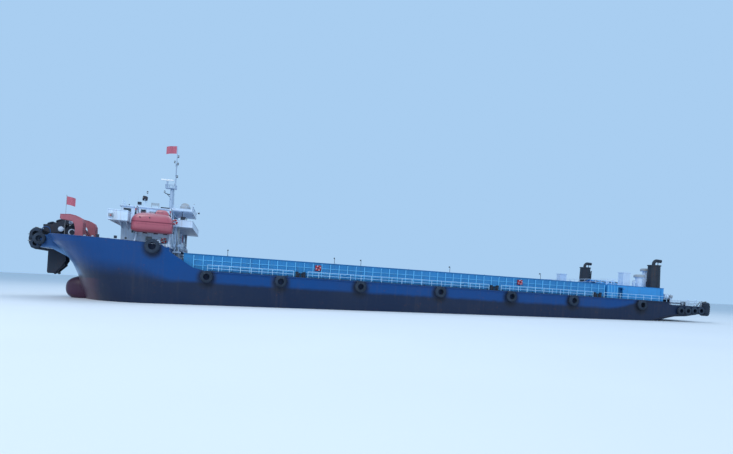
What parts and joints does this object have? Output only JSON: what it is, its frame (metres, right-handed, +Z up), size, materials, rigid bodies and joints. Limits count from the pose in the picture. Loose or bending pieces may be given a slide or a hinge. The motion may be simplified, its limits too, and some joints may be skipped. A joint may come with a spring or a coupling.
{
  "type": "scale model self-propelled deck cargo barge",
  "caption": "Tenth-scale self-propelled deck barge: bulbous bow, forward wheelhouse, fenced open cargo deck, aft engine casing, two propellers and rudders, lifeboats on davits.",
  "frame": {"origin": "on the floor under the middle of the overall length, on the centreline, at the bottom of the flat keel", "axes": "+X aft along the ship, +Y to starboard, +Z up; the bow points to -X and the port side to -Y"},
  "size_m": [10.56, 2.3126, 2.48],
  "materials": {
    "hull_paint": "satin marine paint, blue topsides over near-black and dark red",
    "fence_paint": "satin sky-blue paint with scuffs",
    "deck_wood": "worn grey-brown deck planks",
    "white_paint": "satin white paint, weathered",
    "orange_paint": "orange-red paint, sun-faded",
    "boot_paint": "matt dark red anti-fouling paint",
    "black_steel": "matt black paint with rust at the edges",
    "grey_steel": "worn bare steel",
    "bronze": "dull propeller bronze",
    "fender_rubber": "weathered black rubber",
    "boat_shell": "orange-red glass fibre, slightly faded",
    "flag_cloth": "thin woven bunting",
    "window_glass": "dark tinted glass"
  },
  "bodies": {
    "hull": {"hull_bow": "hull_paint", "hull_midship": "hull_paint", "hull_stern": "hull_paint", "forecastle_bulwark": "hull_paint", "bow_platform": "hull_paint", "bow_fender": "fender_rubber", "anchor": "black_steel", "winch_guard_port": "orange_paint", "winch_guard_starboard": "orange_paint", "fairlead_frame": "black_steel", "windlass_frame": "black_steel", "cargo_deck": "deck_wood", "cargo_fence_port": "fence_paint", "cargo_fence_starboard": "fence_paint", "cargo_fence_front": "fence_paint", "cargo_fence_aft": "fence_paint", "engine_casing": "fence_paint", "funnel_port": "black_steel", "funnel_starboard": "black_steel", "vent_house_port": "white_paint", "vent_house_starboard": "white_paint", "roof_vents_port": "white_paint", "roof_vents_starboard": "white_paint", "deckhouse": "white_paint", "bridge_deck": "white_paint", "wheelhouse": "white_paint", "wheelhouse_roof": "white_paint", "signal_mast": "white_paint", "ensign": "flag_cloth", "davit_foot_port": "white_paint", "davit_foot_starboard": "white_paint", "side_rail_port": "fender_rubber", "side_rail_starboard": "fender_rubber", "bollard_strip_port": "black_steel", "bollard_strip_starboard": "black_steel", "bow_tyre_port": "fender_rubber", "bow_tyre_starboard": "fender_rubber", "stern_fender_port": "fender_rubber", "stern_fender_starboard": "fender_rubber", "stern_winch_frame": "black_steel"},
    "radar_scanner": {"radar_scanner": "white_paint"},
    "fairlead_roller": {"fairlead_roller": "black_steel"},
    "windlass_drum": {"windlass_drum": "grey_steel"},
    "stern_winch_drum": {"stern_winch_drum": "grey_steel"},
    "propeller_port": {"propeller_port": "bronze"},
    "propeller_starboard": {"propeller_starboard": "bronze"},
    "rudder_port": {"rudder_port": "boot_paint"},
    "rudder_starboard": {"rudder_starboard": "boot_paint"},
    "davit_port": {"davit_port": "white_paint"},
    "davit_starboard": {"davit_starboard": "white_paint"},
    "lifeboat_port": {"lifeboat_port": "boat_shell"},
    "lifeboat_starboard": {"lifeboat_starboard": "boat_shell"},
    "deckhouse_door_port": {"deckhouse_door_port": "white_paint"},
    "deckhouse_door_starboard": {"deckhouse_door_starboard": "white_paint"},
    "wheelhouse_door_port": {"wheelhouse_door_port": "white_paint"},
    "wheelhouse_door_starboard": {"wheelhouse_door_starboard": "white_paint"},
    "casing_door_port": {"casing_door_port": "fence_paint"},
    "casing_door_starboard": {"casing_door_starboard": "fence_paint"}
  },
  "joints": [
    {"name": "radar_spin", "type": "hinge", "parent": "hull", "child": "radar_scanner", "pos_m": [-3.535, 0, 1.932], "axis": [0, 0, 1], "continuous": true},
    {"name": "fairlead_spin", "type": "hinge", "parent": "hull", "child": "fairlead_roller", "pos_m": [-4.86, 0, 1.105], "axis": [0, 1, 0], "continuous": true},
    {"name": "windlass_spin", "type": "hinge", "parent": "hull", "child": "windlass_drum", "pos_m": [-4.715, 0, 1.045], "axis": [0, 1, 0], "continuous": true},
    {"name": "stern_winch_spin", "type": "hinge", "parent": "hull", "child": "stern_winch_drum", "pos_m": [4.64, 0, 0.649], "axis": [0, 1, 0], "continuous": true},
    {"name": "propeller_port_spin", "type": "hinge", "parent": "hull", "child": "propeller_port", "pos_m": [4.39, -0.48, 0.19], "axis": [1, 0, 0], "continuous": true},
    {"name": "propeller_starboard_spin", "type": "hinge", "parent": "hull", "child": "propeller_starboard", "pos_m": [4.39, 0.48, 0.19], "axis": [1, 0, 0], "continuous": true},
    {"name": "rudder_port_turn", "type": "hinge", "parent": "hull", "child": "rudder_port", "pos_m": [4.6, -0.48, 0.22], "axis": [0, 0, 1], "range_deg": [-35, 35]},
    {"name": "rudder_starboard_turn", "type": "hinge", "parent": "hull", "child": "rudder_starboard", "pos_m": [4.6, 0.48, 0.22], "axis": [0, 0, 1], "range_deg": [-35, 35]},
    {"name": "davit_port_swing", "type": "hinge", "parent": "hull", "child": "davit_port", "pos_m": [-3.585, -0.94, 0.93], "axis": [1, 0, 0], "range_deg": [0, 40]},
    {"name": "davit_starboard_swing", "type": "hinge", "parent": "hull", "child": "davit_starboard", "pos_m": [-3.585, 0.94, 0.93], "axis": [-1, 0, 0], "range_deg": [0, 40]},
    {"name": "lifeboat_port_level", "type": "hinge", "parent": "davit_port", "child": "lifeboat_port", "pos_m": [-3.585, -0.965, 1.386], "axis": [1, 0, 0], "range_deg": [-40, 0]},
    {"name": "lifeboat_starboard_level", "type": "hinge", "parent": "davit_starboard", "child": "lifeboat_starboard", "pos_m": [-3.585, 0.965, 1.386], "axis": [-1, 0, 0], "range_deg": [-40, 0]},
    {"name": "deckhouse_door_port_hinge", "type": "hinge", "parent": "hull", "child": "deckhouse_door_port", "pos_m": [-3.345, -0.47, 1], "axis": [0, 0, -1], "range_deg": [0, 110]},
    {"name": "deckhouse_door_starboard_hinge", "type": "hinge", "parent": "hull", "child": "deckhouse_door_starboard", "pos_m": [-3.345, 0.47, 1], "axis": [0, 0, 1], "range_deg": [0, 110]},
    {"name": "wheelhouse_door_port_hinge", "type": "hinge", "parent": "hull", "child": "wheelhouse_door_port", "pos_m": [-3.69, -0.48, 1.3], "axis": [0, 0, -1], "range_deg": [0, 110]},
    {"name": "wheelhouse_door_starboard_hinge", "type": "hinge", "parent": "hull", "child": "wheelhouse_door_starboard", "pos_m": [-3.69, 0.48, 1.3], "axis": [0, 0, 1], "range_deg": [0, 110]},
    {"name": "casing_door_port_hinge", "type": "hinge", "parent": "hull", "child": "casing_door_port", "pos_m": [4.38, -0.42, 0.7], "axis": [0, 0, -1], "range_deg": [0, 110]},
    {"name": "casing_door_starboard_hinge", "type": "hinge", "parent": "hull", "child": "casing_door_starboard", "pos_m": [4.38, 0.42, 0.7], "axis": [0, 0, 1], "range_deg": [0, 110]}
  ],
  "couplings": [
    {"joint": "lifeboat_port_level", "follows": "davit_port_swing", "ratio": -1},
    {"joint": "lifeboat_starboard_level", "follows": "davit_starboard_swing", "ratio": -1}
  ]
}
